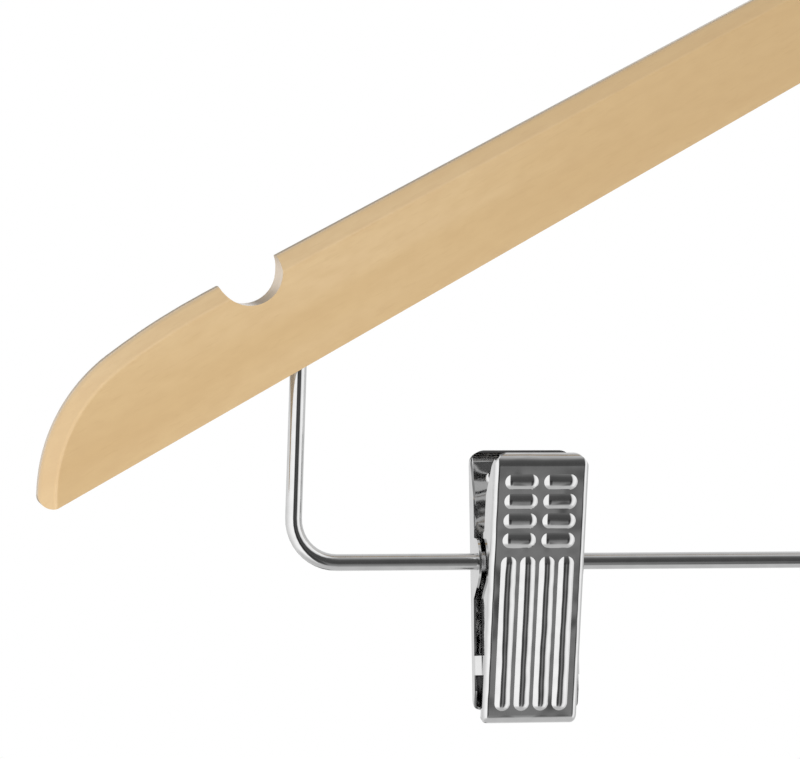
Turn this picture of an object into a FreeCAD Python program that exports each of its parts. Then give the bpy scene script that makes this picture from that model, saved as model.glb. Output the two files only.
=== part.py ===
# Wooden skirt hanger with two sprung clips on a wire bar, in millimetres.
# The origin is the centre of the hook's bend. X runs along the hanger, +Z is up, and the front faces -Y.
import FreeCAD, Part
import math
import os

Vector = FreeCAD.Vector
ORIGIN = Vector(0, 0, 0)
X_AXIS = Vector(1, 0, 0)
Y_AXIS = Vector(0, 1, 0)
Z_AXIS = Vector(0, 0, 1)

# Whole hanger
hanger_width = 445.0
neck_drop = 44.0

# Wooden arms
wood_thickness = 11.0
under_slope_deg = 29.8
arm_widening_deg = 1.5
arm_depth_at_middle = 21.05
arch_radius = 50.0
neck_width = 24.0
neck_crease_corner = 1.6
neck_straight = 1.8
neck_fillet = 16.0
shoulder_radius = 149.0
nose_radius = 37.7
shoulder_fall = 1.5
tip_radius = 2.8
crown_bevel = 3.4
crease_round = 1.4
crest_round = 2.0
notch_radius = 7.0
notch_from_leg = 10.55
notch_sink = 0.3
finger_count = 5
finger_reach = 4.0

# Hook
hook_wire = 3.6
hook_inner_radius = 20.0
hook_stem_bend = 10.0
hook_end_deg = 192.0
shank_length = 25.0
shank_hole_spare = 1.0
shank_clearance = 0.08
groove_depth = 0.7
groove_width = 2.2
groove_from_neck = 14.0

# Brads that hold the hook and the bar
brad_diameter = 1.4
brad_skin = 1.5
brad_clearance = 0.03
hook_brad_clearance = 0.1

# Bar
bar_wire = 3.6
bar_bend = 9.5
leg_from_end = 54.95
leg_lean_deg = 1.15
leg_drop = 41.55
leg_in_wood = 14.1
leg_hole_spare = 0.5
leg_clearance = 0.04
bar_brad_from_end = 6.0

# Clips
clip_from_leg = 51.9
sheet = 0.5
plate_tilt_deg = 8.8
mouth_depth = 3.08
bend_radius = 1.25
lip_bend = 2.4
top_corner = 3.2
bottom_corner = 1.4
front_width = 20.8
front_top = 25.6
front_bottom = 34.45
rear_top = 24.5
rear_bottom = 31.8
lip_depth = 2.6
front_handle_flange = 7.5
front_waist_flange = 7.6
front_shin_flange = 6.2
front_jaw_flange = 3.0
front_lobe_flange = 4.8
rear_handle_flange = 5.6
rear_waist_flange = 4.2
rear_jaw_flange = 3.7
handle_ramp = 10.5
flange_ramp = 4.0
lobe_ramp = 1.8
front_ear_reach = 6.6
front_ear_half_height = 6.6
rear_ear_reach = 2.7
rear_ear_half_height = 4.9
ear_step_above = 0.4
ear_step_below = 3.0
ear_clearance = 0.05
jaw_side_gap = 0.6

# Tabs folded in from the rear jaw's flanges, just above its pad
tab_height = 4.2
tab_from_bottom = 14.25
tab_step = 1.0
tab_room = 1.3
tab_fold = 1.2
tab_gap = 0.45

# Raised lozenges on the handles and raised ribs on the jaws
emboss_height = 0.6
emboss_width = 3.4
lozenge_length = 7.3
lozenge_columns_apart = 8.5
lozenge_from_top = 5.85
lozenge_pitch = 4.29
lozenge_rows = 4
rib_count = 4
rib_pitch = 4.2
rib_top = 3.35
rib_end_margin = 3.35

# Pads
pad_top = 21.0
pad_corner = 2.0
pad_end_margin = 0.3
pad_gap = 0.3
pad_groove = 0.8
pad_groove_depth = 0.5
pad_groove_count = 4

# Pivot tube and spring
tube_wall = 0.45
tube_clearance = 0.05
tube_end_play = 0.1
spring_wire = 1.2
spring_clearance = 0.3
spring_gap = 0.6
spring_turns = 5
spring_leg = 15.0
spring_seat_gap = 0.3
arcs_per_turn_of_spring = 4
points_per_turn_of_spring = 36

# Cuts run past the faces they open by this much
overrun = 2.0

# How near an edge must lie to an outline to count as being on it, as a share of the thickness
edge_tolerance_share = 0.0001

# Heights and places worked out from the sizes above
half_width = hanger_width / 2
neck_z = -neck_drop
under_slope = math.radians(under_slope_deg)
top_slope = math.radians(under_slope_deg - arm_widening_deg)
neck_corner = crown_bevel + neck_crease_corner
neck_fillet_reach = neck_fillet / math.tan((math.pi / 2 + top_slope) / 2)
neck_foot_z = neck_z - neck_corner - neck_straight - neck_fillet_reach
top_peak_z = neck_foot_z + neck_width / 2 * math.tan(top_slope)
under_peak_z = top_peak_z - arm_depth_at_middle
leg_lean = math.radians(leg_lean_deg)
leg_x = half_width - leg_from_end
bar_z = under_peak_z - leg_x * math.tan(under_slope) - leg_drop
leg_to_wood = leg_drop / (math.cos(leg_lean) - math.sin(leg_lean) * math.tan(under_slope))
leg_length = leg_to_wood + leg_in_wood
clip_x = leg_x - clip_from_leg
plate_tilt = math.radians(plate_tilt_deg)
plate_offset = (mouth_depth + front_bottom * math.sin(plate_tilt)) / math.cos(plate_tilt)
rear_width = front_width + 2 * (jaw_side_gap + sheet)
pad_width = front_width - 2 * bend_radius
tab_top = front_bottom - tab_from_bottom
hook_radius = hook_inner_radius + hook_wire / 2
bar_radius = bar_wire / 2
brad_radius = brad_diameter / 2
edge_tolerance = wood_thickness * edge_tolerance_share
tube_bore_radius = bar_radius + tube_clearance
tube_radius = tube_bore_radius + tube_wall


def single(shape):
    """The one solid that a shape is expected to hold."""
    solids = shape.Solids
    if len(solids) != 1:
        raise RuntimeError("expected one solid, found %d" % len(solids))
    return solids[0]


def rod(radius, start, end):
    """Round rod from one point to another."""
    along = end - start
    return Part.makeCylinder(radius, along.Length, start, along)


def line(start, end):
    return Part.LineSegment(start, end).toShape()


def arc(start, middle, end):
    return Part.Arc(start, middle, end).toShape()


def polygon_face(points):
    return Part.Face(Part.makePolygon(points + points[:1]))


def wire_rod(edges, radius):
    """Round wire that follows a chain of tangent lines and arcs."""
    path = Part.Wire(edges)
    first = edges[0]
    start = first.valueAt(first.FirstParameter)
    heading = first.tangentAt(first.FirstParameter)
    section = Part.Wire(Part.makeCircle(radius, start, heading))
    return single(path.makePipeShell([section], True, False))


def rounded_corner(before, corner, after, radius):
    """Tangent points and middle point of the arc that rounds a corner."""
    back = (before - corner).normalize()
    ahead = (after - corner).normalize()
    half_angle = back.getAngle(ahead) / 2
    reach = radius / math.tan(half_angle)
    towards_centre = (back + ahead).normalize()
    centre = corner + towards_centre * (radius / math.sin(half_angle))
    return corner + back * reach, centre - towards_centre * radius, corner + ahead * reach


def polar(centre, radius, angle):
    """Point at an angle on a circle in the XZ plane."""
    return centre + Vector(radius * math.cos(angle), 0, radius * math.sin(angle))


# Wooden arms


def crossing(point, heading, centre, radius, far):
    """Where a line in the XZ plane crosses a circle, at its near or far side along the heading."""
    to_centre = centre - point
    along = to_centre.dot(heading)
    off_line = (to_centre - heading * along).Length
    half_chord = math.sqrt(radius ** 2 - off_line ** 2)
    if far:
        return point + heading * (along + half_chord)
    return point + heading * (along - half_chord)


def under_heading():
    """Down the underside of the left arm, towards the tip."""
    return Vector(-math.cos(under_slope), 0, -math.sin(under_slope))


def top_line_z(x):
    """Height of the straight top of an arm, at a distance from the middle."""
    return top_peak_z - x * math.tan(top_slope)


def nose_centre():
    """Centre of the left arm's round end, which lies a little under the straight top."""
    x = half_width - nose_radius
    return Vector(-x, 0, top_line_z(x) - (nose_radius + shoulder_fall) / math.cos(top_slope))


def crown_edges():
    """Left half of the outline that gets the bevelled crown, from the neck to the tip."""
    neck_side = -neck_width / 2
    outward = Vector(-math.cos(top_slope), 0, -math.sin(top_slope))
    inward = Vector(math.sin(top_slope), 0, -math.cos(top_slope))
    top_peak = Vector(0, 0, top_peak_z)
    neck_middle = Vector(0, 0, neck_z)
    neck_edge = Vector(neck_side, 0, neck_z)
    neck_foot = Vector(neck_side, 0, neck_foot_z)
    corner_start, corner_middle, corner_end = rounded_corner(neck_middle, neck_edge, neck_foot, neck_corner)
    fillet_start, fillet_middle, fillet_end = rounded_corner(
        neck_edge, neck_foot, neck_foot + outward, neck_fillet)

    nose = nose_centre()
    shoulder_line = top_peak + inward * shoulder_radius
    shoulder_centre = crossing(shoulder_line, outward, nose, shoulder_radius - nose_radius, False)
    shoulder_start = shoulder_centre - inward * shoulder_radius
    to_nose = (nose - shoulder_centre).normalize()
    nose_start = nose + to_nose * nose_radius
    nose_start_angle = math.atan2(to_nose.z, to_nose.x)
    shoulder_start_angle = math.atan2(-inward.z, -inward.x)
    shoulder_middle = polar(
        shoulder_centre, shoulder_radius, (shoulder_start_angle + nose_start_angle) / 2)

    tip = crossing(Vector(0, 0, under_peak_z), under_heading(), nose, nose_radius, True)
    to_tip = tip - nose
    tip_angle = math.atan2(to_tip.z, to_tip.x) % (2 * math.pi)
    nose_middle = polar(nose, nose_radius, (nose_start_angle + tip_angle) / 2)

    edges = [
        line(neck_middle, corner_start),
        arc(corner_start, corner_middle, corner_end),
        line(corner_end, fillet_start),
        arc(fillet_start, fillet_middle, fillet_end),
        line(fillet_end, shoulder_start),
        arc(shoulder_start, shoulder_middle, nose_start),
        arc(nose_start, nose_middle, tip),
    ]
    return edges, tip


def under_edges(tip):
    """Left half of the underside, from the tip to the middle of the arch."""
    peak = Vector(0, 0, under_peak_z)
    right_side = Vector(-tip.x, 0, tip.z)
    arch_start, arch_top, arch_end = rounded_corner(tip, peak, right_side, arch_radius)
    arch_centre = arch_top - Z_AXIS * arch_radius
    start_angle = math.atan2(arch_start.z - arch_centre.z, arch_start.x - arch_centre.x)
    arch_middle = polar(arch_centre, arch_radius, (start_angle + math.pi / 2) / 2)
    return [line(tip, arch_start), arc(arch_start, arch_middle, arch_top)], arch_top


def mirrored(edges):
    """The same edges on the other side of the hanger."""
    return [edge.mirror(ORIGIN, X_AXIS) for edge in edges]


def middle_of(edge):
    return edge.valueAt((edge.FirstParameter + edge.LastParameter) / 2)


def edges_along(solid, near, depth, reach):
    """Edges at a depth before and behind the middle plane, within reach of a chain of outline edges."""
    chain = Part.Wire(near)
    chosen = []
    for edge in solid.Edges:
        middle = middle_of(edge)
        ends = [vertex.Point for vertex in edge.Vertexes]
        if all(abs(abs(point.y) - depth) < edge_tolerance for point in ends + [middle]):
            flat_middle = Part.Vertex(Vector(middle.x, 0, middle.z))
            if chain.distToShape(flat_middle)[0] < reach:
                chosen.append(edge)
    return chosen


def wooden_body():
    """Both arms as one piece, with the crown, the notches and the holes."""
    crown, tip = crown_edges()
    under, arch_top = under_edges(tip)
    crown_both = crown + mirrored(crown)
    outline = Part.Wire(Part.__sortEdges__(crown_both + under + mirrored(under)))
    blank = Part.Face(outline).extrude(Y_AXIS * wood_thickness)
    blank.translate(Y_AXIS * (-wood_thickness / 2))
    ordered_crown = Part.__sortEdges__(crown_both)
    face_y = wood_thickness / 2
    crest_y = face_y - crown_bevel
    crease_reach = crown_bevel + edge_tolerance
    bevelled = blank.makeChamfer(crown_bevel, edges_along(blank, ordered_crown, face_y, edge_tolerance))
    creased = bevelled.makeFillet(crease_round, edges_along(bevelled, ordered_crown, face_y, crease_reach))
    body = creased.makeFillet(crest_round, edges_along(creased, ordered_crown, crest_y, edge_tolerance))

    for side in (-1, 1):
        body = body.cut(tip_tool(side))
        body = body.cut(notch_tool(side))
        body = body.cut(leg_hole(side))
        body = body.cut(bar_brad(side, brad_radius + brad_clearance, overrun))
    body = body.cut(shank_hole())
    body = body.cut(hook_brad(brad_radius + brad_clearance, overrun))
    return single(body), arch_top


def tip_tool(side):
    """What is taken off the sharp corner of an arm's end to round it."""
    under_inward = Vector(-math.sin(under_slope), 0, math.cos(under_slope))
    tip_line = Vector(0, 0, under_peak_z) + under_inward * tip_radius
    nose = nose_centre()
    centre = crossing(tip_line, under_heading(), nose, nose_radius - tip_radius, True)
    to_nose_side = (centre - nose).normalize()
    reach = tip_radius + overrun
    outward = to_nose_side - under_inward
    half_run = wood_thickness / 2 + overrun
    start = Vector(0, -half_run, 0)
    sector = [
        centre,
        centre + to_nose_side * reach,
        centre + outward.normalize() * (reach / math.cos(to_nose_side.getAngle(-under_inward) / 2)),
        centre - under_inward * reach,
    ]
    block = polygon_face([point + start for point in sector]).extrude(Y_AXIS * (2 * half_run))
    tool = block.cut(rod(tip_radius, centre + start, centre - start))
    if side > 0:
        tool = tool.mirror(ORIGIN, X_AXIS)
    return tool


def notch_tool(side):
    from_middle = leg_x + notch_from_leg
    z = top_line_z(from_middle) - notch_sink
    centre = Vector(side * from_middle, 0, z)
    half_run = Y_AXIS * (wood_thickness / 2 + overrun)
    return rod(notch_radius, centre - half_run, centre + half_run)


def finger_prism(arch_top):
    """Everything left of the zigzag glue line in the middle."""
    top = neck_z + overrun
    bottom = arch_top.z - overrun
    steps = 2 * finger_count
    depth = wood_thickness + 2 * overrun
    front = -depth / 2
    far_left = -half_width - overrun
    points = [Vector(far_left, front, top)]
    for step in range(steps + 1):
        reach = finger_reach if step % 2 else -finger_reach
        points.append(Vector(reach, front, top + (bottom - top) * step / steps))
    points.append(Vector(points[-1].x, front, bar_z))
    points.append(Vector(far_left, front, bar_z))
    return polygon_face(points).extrude(Y_AXIS * depth)


# Hook


def hook():
    stem_centre_z = -math.sqrt(hook_radius ** 2 + 2 * hook_radius * hook_stem_bend)
    stem_centre = Vector(hook_stem_bend, 0, stem_centre_z)
    shank_end = Vector(0, 0, neck_z - shank_length)
    stem_top = Vector(0, 0, stem_centre_z)
    join_angle = math.atan2(stem_centre_z, hook_stem_bend)
    join = polar(ORIGIN, hook_radius, join_angle)
    bend_middle = polar(stem_centre, hook_stem_bend, (math.pi + join_angle + math.pi) / 2)
    end_angle = math.radians(hook_end_deg)
    half_angle = (join_angle + end_angle) / 2
    top = polar(ORIGIN, hook_radius, half_angle)
    end = polar(ORIGIN, hook_radius, end_angle)
    edges = [
        line(shank_end, stem_top),
        arc(stem_top, bend_middle, join),
        arc(join, polar(ORIGIN, hook_radius, (join_angle + half_angle) / 2), top),
        arc(top, polar(ORIGIN, hook_radius, (half_angle + end_angle) / 2), end),
    ]
    wire = wire_rod(edges, hook_wire / 2)
    rounded_end = Part.makeSphere(hook_wire / 2, end)
    return single(wire.fuse(rounded_end).cut(shank_groove()))


def shank_groove():
    """Ring cut from the shank, which the hook's brad crosses."""
    base = Vector(0, 0, neck_z - groove_from_neck - groove_width / 2)
    ring = Part.makeCylinder(hook_wire, groove_width, base, Z_AXIS)
    core = Part.makeCylinder(hook_wire / 2 - groove_depth, groove_width, base, Z_AXIS)
    return ring.cut(core)


def shank_hole():
    bottom = Vector(0, 0, neck_z - shank_length - shank_hole_spare)
    return rod(hook_wire / 2 + shank_clearance, bottom, Vector(0, 0, neck_z + overrun))


def hook_brad(radius, past_back):
    """Brad from the back face, beside the core of the shank's groove."""
    x = hook_wire / 2 - groove_depth + hook_brad_clearance + brad_radius
    z = neck_z - groove_from_neck
    front = -wood_thickness / 2 + brad_skin
    return rod(radius, Vector(x, front, z), Vector(x, wood_thickness / 2 + past_back, z))


# Bar


def leg_point(side, length):
    """Point on a leg's axis, measured up from the bar's axis."""
    x = leg_x - length * math.sin(leg_lean)
    return Vector(side * x, 0, bar_z + length * math.cos(leg_lean))


def bar():
    left_corner = leg_point(-1, 0)
    right_corner = leg_point(1, 0)
    left_end = leg_point(-1, leg_length)
    right_end = leg_point(1, leg_length)
    left_bend = rounded_corner(left_end, left_corner, right_corner, bar_bend)
    right_bend = rounded_corner(left_corner, right_corner, right_end, bar_bend)
    edges = [
        line(left_end, left_bend[0]),
        arc(*left_bend),
        line(left_bend[2], right_bend[0]),
        arc(*right_bend),
        line(right_bend[2], right_end),
    ]
    wire = wire_rod(edges, bar_radius)
    for side in (-1, 1):
        wire = wire.cut(bar_brad(side, brad_radius + brad_clearance, overrun))
    return single(wire)


def leg_hole(side):
    """Hole in the arm's underside for the end of the bar's leg."""
    start = leg_point(side, bar_bend)
    end = leg_point(side, leg_length + leg_hole_spare)
    return rod(bar_radius + leg_clearance, start, end)


def bar_brad(side, radius, past_back):
    """Brad from the back face that crosses a nick in the leg."""
    on_axis = leg_point(side, leg_length - bar_brad_from_end)
    x = on_axis.x - side * bar_radius
    front = -wood_thickness / 2 + brad_skin
    return rod(radius, Vector(x, front, on_axis.z), Vector(x, wood_thickness / 2 + past_back, on_axis.z))


# Clips, each made about the bar's axis and then set in its place


def bent_block(width, bottom, top, face_y, bend, roll):
    """Block whose front face rolls over into its top and bottom, and bends into its sides."""
    depth = 2 * plate_offset + front_ear_reach
    block = Part.makeBox(width, depth, top - bottom, Vector(-width / 2, face_y, bottom))
    rolled = [edge for edge in block.Edges
              if edge.BoundBox.YMax - face_y < sheet / 2 and edge.BoundBox.ZLength < sheet / 2]
    block = block.makeFillet(roll, rolled)
    rim = [edge for edge in block.Edges
           if edge.BoundBox.XLength < sheet / 2 and edge.BoundBox.YMin - face_y < depth / 2]
    return block.makeFillet(bend, rim)


def corner_tool(side, width, level, inward, radius):
    """What is taken off a square corner of a plate to round it, seen from the front."""
    half_run = 2 * plate_offset + front_ear_reach
    reach = radius + overrun
    centre = Vector(side * (width / 2 - radius), -half_run, level + inward * radius)
    outer = centre + Vector(side * reach, 0, -inward * reach)
    low = Vector(min(centre.x, outer.x), -half_run, min(centre.z, outer.z))
    block = Part.makeBox(reach, 2 * half_run, reach, low)
    return block.cut(rod(radius, centre, centre + Y_AXIS * (2 * half_run)))


def corner_tools(width, bottom, top):
    tools = []
    for side in (-1, 1):
        tools.append(corner_tool(side, width, top, -1, top_corner))
        tools.append(corner_tool(side, width, bottom, 1, bottom_corner))
    return tools


def side_outline(bottom, top, handle_flange, jaw_flanges, ear_reach, ear_half_height):
    """What is kept of the pressed tray, seen from the side: lips, flanges and the ear round the bar.

    The flanges under the ear are given from the bottom up, as depths and heights."""
    face_y = -plate_offset
    lip_y = face_y + lip_depth
    handle_y = face_y + handle_flange
    outside_y = face_y - overrun
    ear_low = Vector(0, 0, -ear_half_height)
    ear_high = Vector(0, 0, ear_half_height)
    points = [
        ear_high,
        Vector(0, handle_y, ear_half_height + ear_step_above),
        Vector(0, handle_y, top - handle_ramp),
        Vector(0, lip_y, top - lip_bend),
        Vector(0, lip_y, top + overrun),
        Vector(0, outside_y, top + overrun),
        Vector(0, outside_y, bottom - overrun),
        Vector(0, lip_y, bottom - overrun),
        Vector(0, lip_y, bottom + sheet),
    ]
    points += [Vector(0, face_y + depth, height) for depth, height in jaw_flanges]
    points.append(ear_low)
    edges = [line(a, b) for a, b in zip(points, points[1:])]
    edges.append(arc(ear_low, Vector(0, ear_reach, 0), ear_high))
    return Part.Face(Part.Wire(edges))


def capsule(centre, along, half_straight, radius):
    """Round bar with round ends, lying behind a plate."""
    across = along.cross(Y_AXIS)
    low = centre - along * half_straight
    high = centre + along * half_straight
    diagonal = radius / math.sqrt(2)
    tail = low - along * radius
    tip = high + along * radius
    edges = [
        arc(tail, low + (across - along) * diagonal, low + across * radius),
        line(low + across * radius, high + across * radius),
        arc(high + across * radius, high + (across + along) * diagonal, tip),
        line(tip, tail),
    ]
    return Part.Face(Part.Wire(edges)).revolve(centre, along, 360)


def emboss(x, z, length, upright):
    """Raised oblong with a round section on the outer face, and the hollow behind it."""
    face_y = -plate_offset
    half_across = emboss_width / 2
    radius = (half_across ** 2 + emboss_height ** 2) / (2 * emboss_height)
    along = Z_AXIS if upright else X_AXIS
    centre = Vector(x, face_y - emboss_height + radius, z)
    half_straight = length / 2 - half_across
    corner = Vector(x - length, face_y + sheet / 2, z - length)
    behind = Part.makeBox(2 * length, 2 * length, 2 * length, corner)
    raised = capsule(centre, along, half_straight, radius).cut(behind)
    return raised, capsule(centre, along, half_straight, radius - sheet)


def embosses(bottom, top):
    """Lozenges on the handle and ribs on the jaw."""
    places = []
    for row in range(lozenge_rows):
        for side in (-1, 1):
            z = top - lozenge_from_top - row * lozenge_pitch
            places.append((side * lozenge_columns_apart / 2, z, lozenge_length, False))
    rib_bottom = bottom + rib_end_margin
    for index in range(rib_count):
        x = (index - (rib_count - 1) / 2) * rib_pitch
        places.append((x, (rib_top + rib_bottom) / 2, rib_top - rib_bottom, True))
    return [emboss(*place) for place in places]


def jaw(width, bottom, top, outline, hole_radius, extras):
    """One pressed plate, upright, with its outer face towards the front and the bar's axis on X."""
    face_y = -plate_offset
    outer = bent_block(width, bottom, top, face_y, bend_radius, lip_bend)
    inner = bent_block(
        width - 2 * sheet, bottom + sheet, top - sheet, face_y + sheet,
        bend_radius - sheet, lip_bend - sheet)
    half_run = width / 2 + overrun
    kept = outline.extrude(X_AXIS * (2 * half_run))
    kept.translate(X_AXIS * (-half_run))
    plate = outer.cut(inner).common(kept).cut(corner_tools(width, bottom, top))
    pairs = embosses(bottom, top)
    plate = plate.fuse([raised for raised, hollow in pairs] + extras)
    plate = plate.cut([hollow for raised, hollow in pairs])
    plate = plate.cut(rod(hole_radius, X_AXIS * (-half_run), X_AXIS * half_run))
    return single(plate)


def rear_tabs():
    """Tabs that run on from the flanges, fold in, and stop short of the front jaw's flanges."""
    outer_x = rear_width / 2
    bottom = -tab_top - tab_height
    flange_y = -plate_offset + front_jaw_flange
    start_y = -plate_offset + bend_radius
    end_y = 2 * bottom * math.tan(plate_tilt) - flange_y - tab_gap / math.cos(plate_tilt)
    fold_y = end_y - tab_fold
    inner_fold_y = fold_y - sheet * math.tan(math.pi / 8)
    thickness_step = sheet / math.sqrt(2)
    tabs = []
    for side in (-1, 1):
        outline = [
            (outer_x - sheet, start_y),
            (outer_x, start_y),
            (outer_x, fold_y),
            (outer_x - tab_fold, end_y),
            (outer_x - tab_fold - thickness_step, end_y - thickness_step),
            (outer_x - sheet, inner_fold_y),
        ]
        face = polygon_face([Vector(side * x, y, bottom) for x, y in outline])
        tabs.append(face.extrude(Z_AXIS * tab_height))
    return tabs


def tilted(shape):
    """Lean a front plate's handle forward about the bar's axis."""
    leaning = shape.copy()
    leaning.rotate(ORIGIN, X_AXIS, plate_tilt_deg)
    return leaning


def turned_to_back(shape):
    turned = shape.copy()
    turned.rotate(ORIGIN, Z_AXIS, 180)
    return turned


def front_jaw():
    """Front plate, whose flanges leave room for the rear plate's tabs."""
    above_tab = -tab_top + tab_gap
    below_tab = -tab_top - tab_height - tab_room
    lobe_z = (below_tab - front_bottom) / 2
    outline = side_outline(-front_bottom, front_top, front_handle_flange, [
        (lip_depth, lobe_z - lobe_ramp),
        (front_lobe_flange, lobe_z),
        (front_jaw_flange, below_tab),
        (front_jaw_flange, above_tab),
        (front_shin_flange, above_tab + tab_step),
        (front_waist_flange, -front_ear_half_height - ear_step_below),
    ], front_ear_reach, front_ear_half_height)
    return tilted(jaw(front_width, -front_bottom, front_top, outline, tube_radius + ear_clearance, []))


def rear_jaw():
    outline = side_outline(-rear_bottom, rear_top, rear_handle_flange, [
        (rear_jaw_flange, -rear_bottom + flange_ramp),
        (rear_jaw_flange, -tab_top),
        (rear_waist_flange, -rear_ear_half_height - ear_step_below),
    ], rear_ear_reach, rear_ear_half_height)
    upright = jaw(rear_width, -rear_bottom, rear_top, outline, bar_radius + ear_clearance, rear_tabs())
    return turned_to_back(tilted(upright))


def pad(plate_bottom):
    """Wedge between a front plate's inner face and the plane where the jaws meet, grooved to grip."""
    def inner_face_y(z):
        return -(plate_offset - sheet) / math.cos(plate_tilt) - z * math.tan(plate_tilt)

    lip_z = -plate_offset * math.sin(plate_tilt) - (plate_bottom - sheet) * math.cos(plate_tilt)
    bottom = lip_z + lip_depth * math.sin(plate_tilt) + pad_end_margin
    meeting_y = -pad_gap / 2
    left = -pad_width / 2
    inside_bend = lip_bend - sheet
    above_bend = bottom + inside_bend
    outline = [
        Vector(left, inner_face_y(-pad_top), -pad_top),
        Vector(left, meeting_y, -pad_top),
        Vector(left, meeting_y, bottom),
        Vector(left, inner_face_y(bottom) + inside_bend, bottom),
        Vector(left, inner_face_y(above_bend), above_bend),
    ]
    wedge = polygon_face(outline).extrude(X_AXIS * pad_width)
    low_corners = [edge for edge in wedge.Edges
                   if edge.BoundBox.ZMax - bottom < pad_gap and edge.BoundBox.XLength < pad_gap]
    wedge = wedge.makeFillet(pad_corner, low_corners)
    spacing = (-pad_top - bottom) / (pad_groove_count + 1)
    grooves = []
    for index in range(pad_groove_count):
        z = bottom + spacing * (index + 1) - pad_groove / 2
        corner = Vector(left - overrun, meeting_y - pad_groove_depth, z)
        grooves.append(Part.makeBox(pad_width + 2 * overrun, pad_groove_depth + overrun, pad_groove, corner))
    return single(wedge.cut(grooves))


def pivot_tube():
    length = rear_width - 2 * sheet - 2 * tube_end_play
    start = X_AXIS * (-length / 2)
    return single(rod(tube_radius, start, -start).cut(rod(tube_bore_radius, start, -start)))


def biarc(start, start_heading, end, end_heading):
    """Two tangent arcs that join two points along given unit headings."""
    chord = end - start
    both = start_heading + end_heading
    spread = 2 * (1 - start_heading.dot(end_heading))
    forward = chord.dot(both)
    reach = (math.sqrt(forward ** 2 + spread * chord.dot(chord)) - forward) / spread
    join = (start + start_heading * reach + end - end_heading * reach) / 2
    return [
        arc(start, arc_middle(start, start_heading, join), join),
        arc(join, arc_middle(end, -end_heading, join), end),
    ]


def arc_middle(start, heading, end):
    """Middle point of the arc that leaves a point along a heading and ends at another."""
    chord = end - start
    along = chord * (heading.dot(chord) / chord.dot(chord))
    sideways = (heading - along).normalize()
    turn = heading.getAngle(chord)
    return start + chord / 2 + sideways * (chord.Length / 2 * math.tan(turn / 2))


def spring():
    """Torsion spring round the tube: a leg up each handle and the coil between them."""
    wire_radius = spring_wire / 2
    coil_radius = tube_radius + spring_clearance + wire_radius
    pitch = spring_wire + spring_gap
    seat = plate_offset - sheet - wire_radius - spring_seat_gap
    lean_in_plate = math.atan2(spring_leg, coil_radius)
    lean_in_plate -= math.acos(seat / math.hypot(spring_leg, coil_radius))
    lean = lean_in_plate + plate_tilt
    first = math.pi + lean
    last = 2 * math.pi * (spring_turns + 1) - lean
    advance = pitch / (2 * math.pi)
    middle = (first + last) / 2

    def place(angle):
        x = advance * (angle - middle)
        return Vector(x, coil_radius * math.cos(angle), coil_radius * math.sin(angle))

    def heading(angle):
        return Vector(advance, -coil_radius * math.sin(angle), coil_radius * math.cos(angle)).normalize()

    def spaced(count):
        return [first + (last - first) * index / count for index in range(count + 1)]

    turns = (last - first) / (2 * math.pi)
    angles = spaced(math.ceil(turns * arcs_per_turn_of_spring))
    front_end = place(first) - heading(first) * spring_leg
    rear_end = place(last) + heading(last) * spring_leg
    edges = [line(front_end, place(first))]
    for a, b in zip(angles, angles[1:]):
        edges += biarc(place(a), heading(a), place(b), heading(b))
    edges.append(line(place(last), rear_end))

    samples = [place(angle) for angle in spaced(math.ceil(turns * points_per_turn_of_spring))]
    print("spring: least gap to itself %.3f mm" % least_gap(samples, points_per_turn_of_spring // 2))
    return wire_rod(edges, wire_radius)


def least_gap(points, apart):
    """Least clear distance between stretches of the wire at least that many points apart."""
    nearest = min((points[i] - points[j]).Length
                  for i in range(len(points)) for j in range(i + apart, len(points)))
    return nearest - spring_wire


def clip_pieces():
    front = front_jaw()
    rear = rear_jaw()
    return {
        "front_jaw": front,
        "rear_jaw": rear,
        "front_pad": pad(front_bottom),
        "rear_pad": turned_to_back(pad(rear_bottom)),
        "pivot_tube": pivot_tube(),
        "spring": spring(),
    }


def main():
    body, arch_top = wooden_body()
    left_of_joint = finger_prism(arch_top)
    pieces = {
        "left_arm": single(body.common(left_of_joint)),
        "right_arm": single(body.cut(left_of_joint)),
        "hook": hook(),
        "hook_pin": hook_brad(brad_radius, 0),
        "bar": bar(),
        "left_bar_pin": bar_brad(-1, brad_radius, 0),
        "right_bar_pin": bar_brad(1, brad_radius, 0),
    }
    clip = clip_pieces()
    for name, side in (("left", -1), ("right", 1)):
        place = Vector(side * clip_x, 0, bar_z)
        for piece, shape in clip.items():
            moved = shape.copy()
            moved.translate(place)
            pieces[name + "_" + piece] = moved

    os.makedirs("parts", exist_ok=True)
    for node, shape in pieces.items():
        shape.exportStep("parts/%s.step" % node)
        print("%s: %.1f mm3, valid %s" % (node, shape.Volume, shape.isValid()))


main()
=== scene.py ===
import math

import bpy
from mathutils import Matrix, Vector


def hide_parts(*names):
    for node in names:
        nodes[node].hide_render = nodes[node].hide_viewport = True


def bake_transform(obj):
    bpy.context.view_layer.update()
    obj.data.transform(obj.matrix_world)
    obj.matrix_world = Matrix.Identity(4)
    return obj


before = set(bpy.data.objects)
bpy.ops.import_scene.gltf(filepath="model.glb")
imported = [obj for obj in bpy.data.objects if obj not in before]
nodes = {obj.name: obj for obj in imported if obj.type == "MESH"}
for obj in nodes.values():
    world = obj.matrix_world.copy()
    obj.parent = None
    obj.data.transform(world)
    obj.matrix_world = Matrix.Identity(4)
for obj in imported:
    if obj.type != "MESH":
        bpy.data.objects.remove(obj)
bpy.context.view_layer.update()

MM = 0.001
SIDES = {"left": -1, "right": 1}

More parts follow.
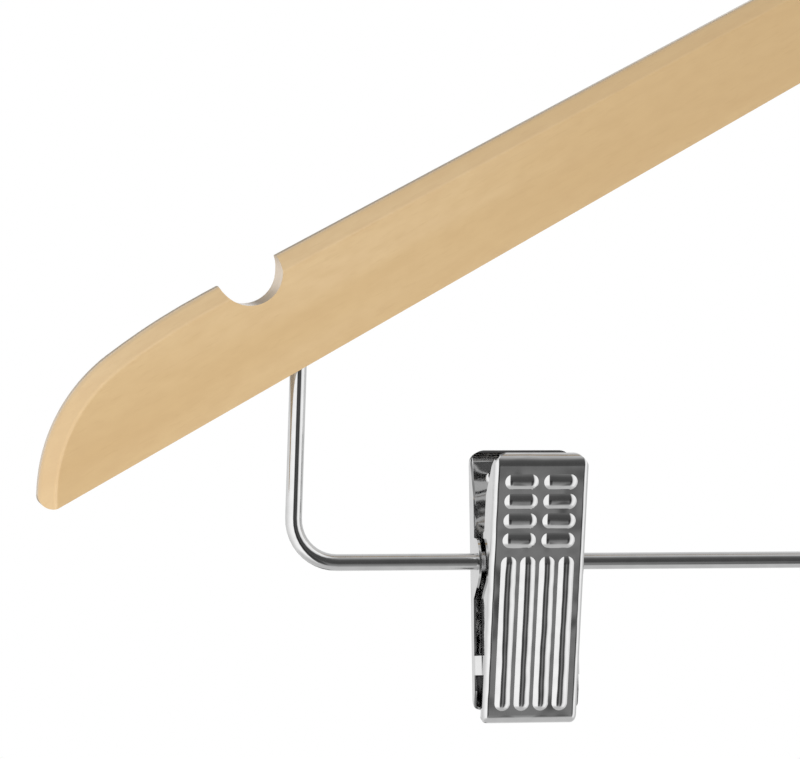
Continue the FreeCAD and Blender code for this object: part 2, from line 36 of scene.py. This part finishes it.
# Photograph's width in pixels, and the camera that matches it, with its angles in degrees
IMAGE_WIDTH = 800
PIXELS_PER_MM = 4.66
SENSOR_MM = 36.0
CAMERA_DISTANCE = 0.98
CAMERA_AZIMUTH = -10.5
CAMERA_ELEVATION = 3.75
CAMERA_ROLL = 0.75
CAMERA_TARGET = Vector((-144.58, 0.0, -173.06)) * MM
CAMERA_REACH = 50.0

# Slope of the arms, which the grain follows
ARM_SLOPE = math.radians(29.0)

# Unevenness of the plated pieces: pressed sheet swells more than drawn wire
SHEET_WAVINESS = 0.5 * MM
WIRE_WAVINESS = 0.004 * MM
PLATING_ROUGHNESS = 0.05

# Places and sizes of the springs, as in the CAD model
BAR_Z = -212.45 * MM
CLIP_X = 115.65 * MM
SPRING_WIRE = 1.2 * MM
SPRING_COIL_RADIUS = 3.2 * MM
SPRING_PITCH = 1.8 * MM
SPRING_LEG = 15.0 * MM
SPRING_TURNS = 5
PLATE_TILT = math.radians(8.8)
# How far the ends of a spring's legs lie from its axis, measured square to the handles
SPRING_SEAT = 7.05 * MM

# Fineness of the springs' mesh, and the round of a wire's end as a share of its radius
STEPS_PER_TURN = 48
STEPS_PER_LEG = 12
WIRE_SEGMENTS = 16
END_ROUND = 0.35

# Floor, and how much of it is plain white to the camera
FLOOR_Z = -2.0
FLOOR_HALF_WIDTH = 3.0
FLOOR_GREY = 0.90
FLOOR_WHITENESS = 0.8

# Soft lamp
LAMP_PLACE = Vector((-0.55, -0.62, -0.30))
LAMP_AIM = Vector((-0.12, 0.0, -0.15))
LAMP_SIZE = 0.5
LAMP_POWER = 2.3


# Shader helpers


def connect(tree, value, socket):
    """Link a socket to another socket, or set it to a value."""
    if isinstance(value, bpy.types.NodeSocket):
        tree.links.new(value, socket)
    else:
        socket.default_value = value


def add(tree, kind, **sockets):
    """Add a shader node. Sockets are given by name, spaces as underscores, as values or as other sockets."""
    node = tree.nodes.new(kind)
    for name, value in sockets.items():
        connect(tree, value, node.inputs[name.replace("_", " ")])
    return node


def math_node(tree, operation, *values):
    node = tree.nodes.new("ShaderNodeMath")
    node.operation = operation
    for value, socket in zip(values, node.inputs):
        connect(tree, value, socket)
    return node.outputs[0]


def ramp(tree, factor, stops):
    """Colour ramp from a list of (place, colour)."""
    node = tree.nodes.new("ShaderNodeValToRGB")
    elements = node.color_ramp.elements
    while len(elements) < len(stops):
        elements.new(0.5)
    for element, (place, colour) in zip(elements, stops):
        element.position = place
        element.color = (*colour, 1.0)
    connect(tree, factor, node.inputs["Fac"])
    return node.outputs["Color"]


def grey(value):
    return (value, value, value)


def levels(tree, share, limit, stops):
    """Greys from a list of (degrees, level), where share 0 to 1 stands for -limit to limit degrees."""
    return ramp(tree, share, [((degrees + limit) / (2 * limit), grey(level)) for degrees, level in stops])


def blend_colours(tree, factor, first, second, mode="MIX"):
    """Blend two colours, given as sockets or as values."""
    node = tree.nodes.new("ShaderNodeMix")
    node.data_type = "RGBA"
    node.blend_type = mode
    node.clamp_factor = True
    colour_inputs = [socket for socket in node.inputs if socket.type == "RGBA"]
    connect(tree, factor, node.inputs[0])
    for value, socket in zip((first, second), colour_inputs):
        connect(tree, value if isinstance(value, bpy.types.NodeSocket) else (*value, 1.0), socket)
    return next(socket for socket in node.outputs if socket.type == "RGBA")


def noise(tree, coordinates, scale, detail, roughness=0.5):
    """Noise whose features are about 1 / scale metres across on each axis."""
    scaled = add(tree, "ShaderNodeMapping", Vector=coordinates, Scale=scale).outputs[0]
    node = add(tree, "ShaderNodeTexNoise", Vector=scaled, Scale=1.0, Detail=detail, Roughness=roughness)
    return node.outputs["Fac"]


def remap(tree, value, low, high, out_low=0.0, out_high=1.0):
    """Take a value from the range low to high into the range out_low to out_high."""
    node = add(
        tree, "ShaderNodeMapRange",
        Value=value, From_Min=low, From_Max=high, To_Min=out_low, To_Max=out_high,
    )
    return node.outputs[0]


def new_material(name):
    """A node material with its Principled shader and object coordinates."""
    material = bpy.data.materials.new(name)
    material.use_nodes = True
    tree = material.node_tree
    shader = tree.nodes["Principled BSDF"]
    coordinates = tree.nodes.new("ShaderNodeTexCoord").outputs["Object"]
    return material, tree, shader, coordinates


def linear(red, green, blue):
    """Linear colour from 8-bit screen values."""
    def channel(value):
        share = value / 255
        return share / 12.92 if share <= 0.04045 else ((share + 0.055) / 1.055) ** 2.4
    return (channel(red), channel(green), channel(blue))


# Materials


def wood(name, slope):
    """Pale close-grained wood under a clear satin lacquer, with the grain along the arm."""
    material, tree, shader, coordinates = new_material(name)
    along = add(tree, "ShaderNodeMapping", Vector=coordinates, Rotation=(0.0, slope, 0.0)).outputs[0]
    figure = noise(tree, along, (7.0, 60.0, 75.0), 2.0)
    streaks = noise(tree, along, (16.0, 500.0, 620.0), 3.0, 0.6)
    mottle = noise(tree, along, (170.0, 380.0, 420.0), 2.0)
    flecks = noise(tree, along, (260.0, 1900.0, 2300.0), 1.0)

    colour = ramp(tree, figure, [
        (0.25, linear(211, 177, 126)),
        (0.50, linear(217, 185, 135)),
        (0.75, linear(223, 193, 146)),
    ])
    # Darker marks over it: where each noise runs from none to full, how strong it gets, and its colour
    for marks, none, full, strength, dark in (
        (mottle, 0.35, 0.70, 0.30, linear(205, 170, 122)),
        (streaks, 0.35, 0.75, 0.12, linear(200, 163, 116)),
        (flecks, 0.60, 0.85, 0.14, linear(182, 141, 96)),
    ):
        colour = blend_colours(tree, remap(tree, marks, none, full, 0.0, strength), colour, dark)
    connect(tree, colour, shader.inputs["Base Color"])
    connect(tree, remap(tree, streaks, 0.2, 0.8, 0.34, 0.46), shader.inputs["Roughness"])
    shader.inputs["Coat Weight"].default_value = 1.0
    shader.inputs["Coat Roughness"].default_value = 0.16
    bump = add(tree, "ShaderNodeBump", Height=streaks, Strength=0.05, Distance=0.2 * MM)
    connect(tree, bump.outputs[0], shader.inputs["Normal"])
    return material


def chrome(name, waviness):
    """Bright plated steel, slightly uneven, with fine wear marks."""
    material, tree, shader, coordinates = new_material(name)
    shader.inputs["Metallic"].default_value = 1.0
    swells = noise(tree, coordinates, (110.0, 60.0, 130.0), 1.0)
    haze = noise(tree, coordinates, (420.0, 420.0, 420.0), 3.0)
    scratches = noise(tree, coordinates, (3800.0, 3800.0, 260.0), 2.0)
    tint = ramp(tree, haze, [(0.3, grey(0.60)), (0.7, grey(0.65))])
    worn = blend_colours(tree, remap(tree, scratches, 0.66, 0.80, 0.0, 0.12), tint, grey(0.42))
    connect(tree, worn, shader.inputs["Base Color"])
    hazed = remap(tree, haze, 0.3, 0.8, PLATING_ROUGHNESS, PLATING_ROUGHNESS + 0.05)
    connect(tree, hazed, shader.inputs["Roughness"])
    bump = add(tree, "ShaderNodeBump", Height=swells, Strength=1.0, Distance=waviness)
    connect(tree, bump.outputs[0], shader.inputs["Normal"])
    return material


def drawn_steel(name, colour, roughness):
    """Plain steel with faint drawing lines."""
    material, tree, shader, coordinates = new_material(name)
    shader.inputs["Metallic"].default_value = 1.0
    mottle = noise(tree, coordinates, (900.0, 900.0, 900.0), 3.0)
    lines = noise(tree, coordinates, (250.0, 5200.0, 5200.0), 2.0)
    dark = tuple(0.7 * value for value in colour)
    base = ramp(tree, mottle, [(0.3, dark), (0.65, colour)])
    connect(tree, base, shader.inputs["Base Color"])
    connect(tree, remap(tree, lines, 0.3, 0.8, roughness, roughness + 0.15), shader.inputs["Roughness"])
    bump = add(tree, "ShaderNodeBump", Height=lines, Strength=0.1, Distance=0.05 * MM)
    connect(tree, bump.outputs[0], shader.inputs["Normal"])
    return material


def rubber(name):
    """Black moulded rubber with a fine grain and dusty patches."""
    material, tree, shader, coordinates = new_material(name)
    grain = noise(tree, coordinates, (2600.0, 2600.0, 2600.0), 3.0)
    dust = noise(tree, coordinates, (350.0, 350.0, 350.0), 4.0)
    base = ramp(tree, dust, [(0.35, linear(34, 34, 36)), (0.75, linear(58, 58, 60))])
    connect(tree, base, shader.inputs["Base Color"])
    connect(tree, remap(tree, grain, 0.3, 0.7, 0.42, 0.60), shader.inputs["Roughness"])
    bump = add(tree, "ShaderNodeBump", Height=grain, Strength=0.3, Distance=0.1 * MM)
    connect(tree, bump.outputs[0], shader.inputs["Normal"])
    return material


# Springs


def spring_line(clip_x):
    """Points along the wire: down the front handle, round the coil and up the rear handle."""
    turn = 2 * math.pi
    reach = math.hypot(SPRING_LEG, SPRING_COIL_RADIUS)
    lean = math.atan2(SPRING_LEG, SPRING_COIL_RADIUS) - math.acos(SPRING_SEAT / reach) + PLATE_TILT
    first = math.pi + lean
    last = turn * (SPRING_TURNS + 1) - lean
    advance = SPRING_PITCH / turn
    middle = (first + last) / 2

    def place(angle):
        x = clip_x + advance * (angle - middle)
        return Vector((x, SPRING_COIL_RADIUS * math.cos(angle), BAR_Z + SPRING_COIL_RADIUS * math.sin(angle)))

    def heading(angle):
        across = SPRING_COIL_RADIUS
        return Vector((advance, -across * math.sin(angle), across * math.cos(angle))).normalized()

    steps = STEPS_PER_TURN * SPRING_TURNS
    leg = SPRING_LEG / STEPS_PER_LEG
    points = [place(first) - heading(first) * (leg * (STEPS_PER_LEG - i)) for i in range(STEPS_PER_LEG)]
    points += [place(first + (last - first) * i / steps) for i in range(steps + 1)]
    points += [place(last) + heading(last) * (leg * (i + 1)) for i in range(STEPS_PER_LEG)]
    return points


def wire_mesh(name, points, radius):
    """Round wire along a line of points, with slightly rounded ends."""
    tangents = []
    for index in range(len(points)):
        before = points[max(index - 1, 0)]
        after = points[min(index + 1, len(points) - 1)]
        tangents.append((after - before).normalized())
    end_round = END_ROUND * radius
    rings = [(points[0] - tangents[0] * end_round, tangents[0], radius - end_round)]
    rings += [(point, tangent, radius) for point, tangent in zip(points, tangents)]
    rings.append((points[-1] + tangents[-1] * end_round, tangents[-1], radius - end_round))

    vertices = []
    normal = tangents[0].orthogonal().normalized()
    for centre, tangent, ring_radius in rings:
        normal = (normal - tangent * normal.dot(tangent)).normalized()
        side = tangent.cross(normal)
        for step in range(WIRE_SEGMENTS):
            angle = 2 * math.pi * step / WIRE_SEGMENTS
            vertices.append(centre + (normal * math.cos(angle) + side * math.sin(angle)) * ring_radius)

    faces = []
    last_ring = (len(rings) - 1) * WIRE_SEGMENTS
    for low in range(0, last_ring, WIRE_SEGMENTS):
        high = low + WIRE_SEGMENTS
        for step in range(WIRE_SEGMENTS):
            following = (step + 1) % WIRE_SEGMENTS
            faces.append((low + step, low + following, high + following, high + step))
    faces.append(tuple(reversed(range(WIRE_SEGMENTS))))
    faces.append(tuple(last_ring + step for step in range(WIRE_SEGMENTS)))

    mesh = bpy.data.meshes.new(name)
    mesh.from_pydata([tuple(vertex) for vertex in vertices], [], faces)
    mesh.shade_smooth()
    return mesh


def add_springs(material):
    """Wire springs that stand for the CAD ones."""
    for name, side in SIDES.items():
        clip_x = side * CLIP_X
        points = spring_line(clip_x)
        mesh = wire_mesh(name + "_spring_wire", points, SPRING_WIRE / 2)
        spring = bpy.data.objects.new(name + "_spring_wire", mesh)
        bpy.context.scene.collection.objects.link(spring)
        spring.data.materials.append(material)
        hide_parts(name + "_spring")
        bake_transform(spring)


# Studio


def mirrored_room(tree, azimuth, elevation):
    """What glossy surfaces mirror: pale walls, a dark gap in front and a narrow dark band behind.

    Azimuth 0 looks to the front, -Y, and 90 to +X. Elevation 90 looks straight up.
    """
    walls = levels(tree, azimuth, 180, [
        (-180, 0.25), (-175, 0.25), (-171, 0.86), (-140, 0.88),
        (-100, 1.08), (-70, 1.30), (-50, 1.40), (-20, 1.40),
        (45, 1.20), (66, 1.40), (85, 1.05), (110, 0.75),
        (135, 0.80), (171, 0.86), (175, 0.25), (180, 0.25),
    ])
    gap = levels(tree, elevation, 90, [
        (-90, 0.74), (-58, 0.72), (-44, 0.42), (-32, 0.29), (-23, 0.26),
        (-16, 0.15), (-9, 0.10), (2, 0.085), (30, 0.11),
        (46, 0.20), (56, 0.42), (72, 0.60), (90, 0.66),
    ])
    drapes = levels(tree, azimuth, 180, [(-20, 0.26), (1, 0.26), (6, 1.0), (15, 1.0), (20, 0.34), (36, 0.34)])
    between_drapes = levels(tree, elevation, 90, [(-58, 0.0), (-42, 1.0), (-12, 1.0), (0, 0.0)])
    curtained = blend_colours(tree, between_drapes, gap, blend_colours(tree, 1.0, gap, drapes, "MULTIPLY"))
    in_gap = levels(tree, azimuth, 180, [(-21, 0.0), (-14, 1.0), (32, 1.0), (44, 0.0)])
    above_or_below = levels(tree, elevation, 90, [(-65, 1.0), (-45, 0.0), (50, 0.0), (75, 1.0)])
    share = math_node(tree, "MAXIMUM", in_gap, above_or_below)
    return blend_colours(tree, share, walls, curtained)


def studio_world():
    """White to the camera, the mirrored room to glossy and transmission rays, soft light to the rest."""
    world = bpy.data.worlds.new("studio")
    world.use_nodes = True
    bpy.context.scene.world = world
    tree = world.node_tree
    tree.nodes.clear()
    direction = add(tree, "ShaderNodeTexCoord").outputs["Generated"]
    parts = add(tree, "ShaderNodeSeparateXYZ", Vector=direction).outputs
    forward = math_node(tree, "MULTIPLY", parts["Y"], -1.0)
    azimuth = remap(tree, math_node(tree, "ARCTAN2", parts["X"], forward), -math.pi, math.pi)
    elevation = remap(tree, math_node(tree, "ARCSINE", parts["Z"]), -math.pi / 2, math.pi / 2)

    soft = levels(tree, elevation, 90, [(-90, 0.80), (0, 1.00), (20, 0.90), (45, 0.40), (90, 0.20)])
    ray = add(tree, "ShaderNodeLightPath").outputs
    by_mirror = math_node(tree, "MAXIMUM", ray["Is Glossy Ray"], ray["Is Transmission Ray"])
    lit = blend_colours(tree, by_mirror, soft, mirrored_room(tree, azimuth, elevation))
    seen = blend_colours(tree, ray["Is Camera Ray"], lit, grey(1.0))
    background = add(tree, "ShaderNodeBackground", Color=seen, Strength=1.0)
    output = tree.nodes.new("ShaderNodeOutputWorld")
    tree.links.new(background.outputs[0], output.inputs["Surface"])


def lamp():
    """Wide soft lamp at the front left, which lights the wood and isn't mirrored in the metal."""
    data = bpy.data.lights.new("lamp", "AREA")
    data.shape = "DISK"
    data.size = LAMP_SIZE
    data.energy = LAMP_POWER
    source = bpy.data.objects.new("lamp", data)
    bpy.context.scene.collection.objects.link(source)
    source.visible_glossy = False
    source.visible_camera = False
    aim = (LAMP_AIM - LAMP_PLACE).to_track_quat("-Z", "Y").to_matrix().to_4x4()
    source.matrix_world = Matrix.Translation(LAMP_PLACE) @ aim


def floor():
    """Plain pale floor, well below the hanging object, and mostly white to the camera."""
    corners = [
        (x * FLOOR_HALF_WIDTH, y * FLOOR_HALF_WIDTH, FLOOR_Z)
        for x, y in ((-1, -1), (1, -1), (1, 1), (-1, 1))
    ]
    mesh = bpy.data.meshes.new("floor")
    mesh.from_pydata(corners, [], [(0, 1, 2, 3)])
    plane = bpy.data.objects.new("floor", mesh)
    bpy.context.scene.collection.objects.link(plane)
    plane.visible_glossy = False

    material = bpy.data.materials.new("floor")
    material.use_nodes = True
    tree = material.node_tree
    tree.nodes.clear()
    pale = add(tree, "ShaderNodeBsdfDiffuse", Color=(*grey(FLOOR_GREY), 1.0))
    white = add(tree, "ShaderNodeEmission", Color=(*grey(1.0), 1.0), Strength=1.0)
    ray = add(tree, "ShaderNodeLightPath").outputs
    seen = math_node(tree, "MULTIPLY", ray["Is Camera Ray"], FLOOR_WHITENESS)
    mixed = add(tree, "ShaderNodeMixShader", Fac=seen)
    tree.links.new(pale.outputs[0], mixed.inputs[1])
    tree.links.new(white.outputs[0], mixed.inputs[2])
    output = tree.nodes.new("ShaderNodeOutputMaterial")
    tree.links.new(mixed.outputs[0], output.inputs["Surface"])
    plane.data.materials.append(material)


def camera():
    """Camera at the photograph's viewing angle and scale."""
    data = bpy.data.cameras.new("camera")
    data.sensor_width = SENSOR_MM
    data.lens = SENSOR_MM * CAMERA_DISTANCE / (IMAGE_WIDTH / PIXELS_PER_MM * MM)
    data.clip_end = CAMERA_REACH
    azimuth = math.radians(CAMERA_AZIMUTH)
    elevation = math.radians(CAMERA_ELEVATION)
    back = Vector((
        math.sin(azimuth) * math.cos(elevation),
        -math.cos(azimuth) * math.cos(elevation),
        math.sin(elevation),
    ))
    aim = (-back).to_track_quat("-Z", "Y").to_matrix().to_4x4()
    roll = Matrix.Rotation(math.radians(CAMERA_ROLL), 4, "Z")
    viewer = bpy.data.objects.new("camera", data)
    bpy.context.scene.collection.objects.link(viewer)
    viewer.matrix_world = Matrix.Translation(CAMERA_TARGET + back * CAMERA_DISTANCE) @ aim @ roll
    bpy.context.scene.camera = viewer


def dress(name, material):
    """Give a CAD node its material."""
    slots = nodes[name].data.materials
    slots.clear()
    slots.append(material)


# Finishes for each piece

plated_sheet = chrome("plated_sheet", SHEET_WAVINESS)
plated_wire = chrome("plated_wire", WIRE_WAVINESS)
zinc = drawn_steel("zinc", colour=(0.62, 0.62, 0.63), roughness=0.25)
spring_steel = drawn_steel("spring_steel", colour=(0.55, 0.54, 0.52), roughness=0.22)
black_rubber = rubber("black_rubber")

dress("left_arm", wood("wood_left", ARM_SLOPE))
dress("right_arm", wood("wood_right", -ARM_SLOPE))
dress("hook", plated_wire)
dress("bar", plated_wire)
for pin in ("hook_pin", "left_bar_pin", "right_bar_pin"):
    dress(pin, zinc)
for side_name in SIDES:
    dress(side_name + "_front_jaw", plated_sheet)
    dress(side_name + "_rear_jaw", plated_sheet)
    dress(side_name + "_front_pad", black_rubber)
    dress(side_name + "_rear_pad", black_rubber)
    dress(side_name + "_pivot_tube", zinc)
add_springs(spring_steel)

studio_world()
lamp()
floor()
camera()
bpy.context.scene.view_settings.view_transform = "Standard"
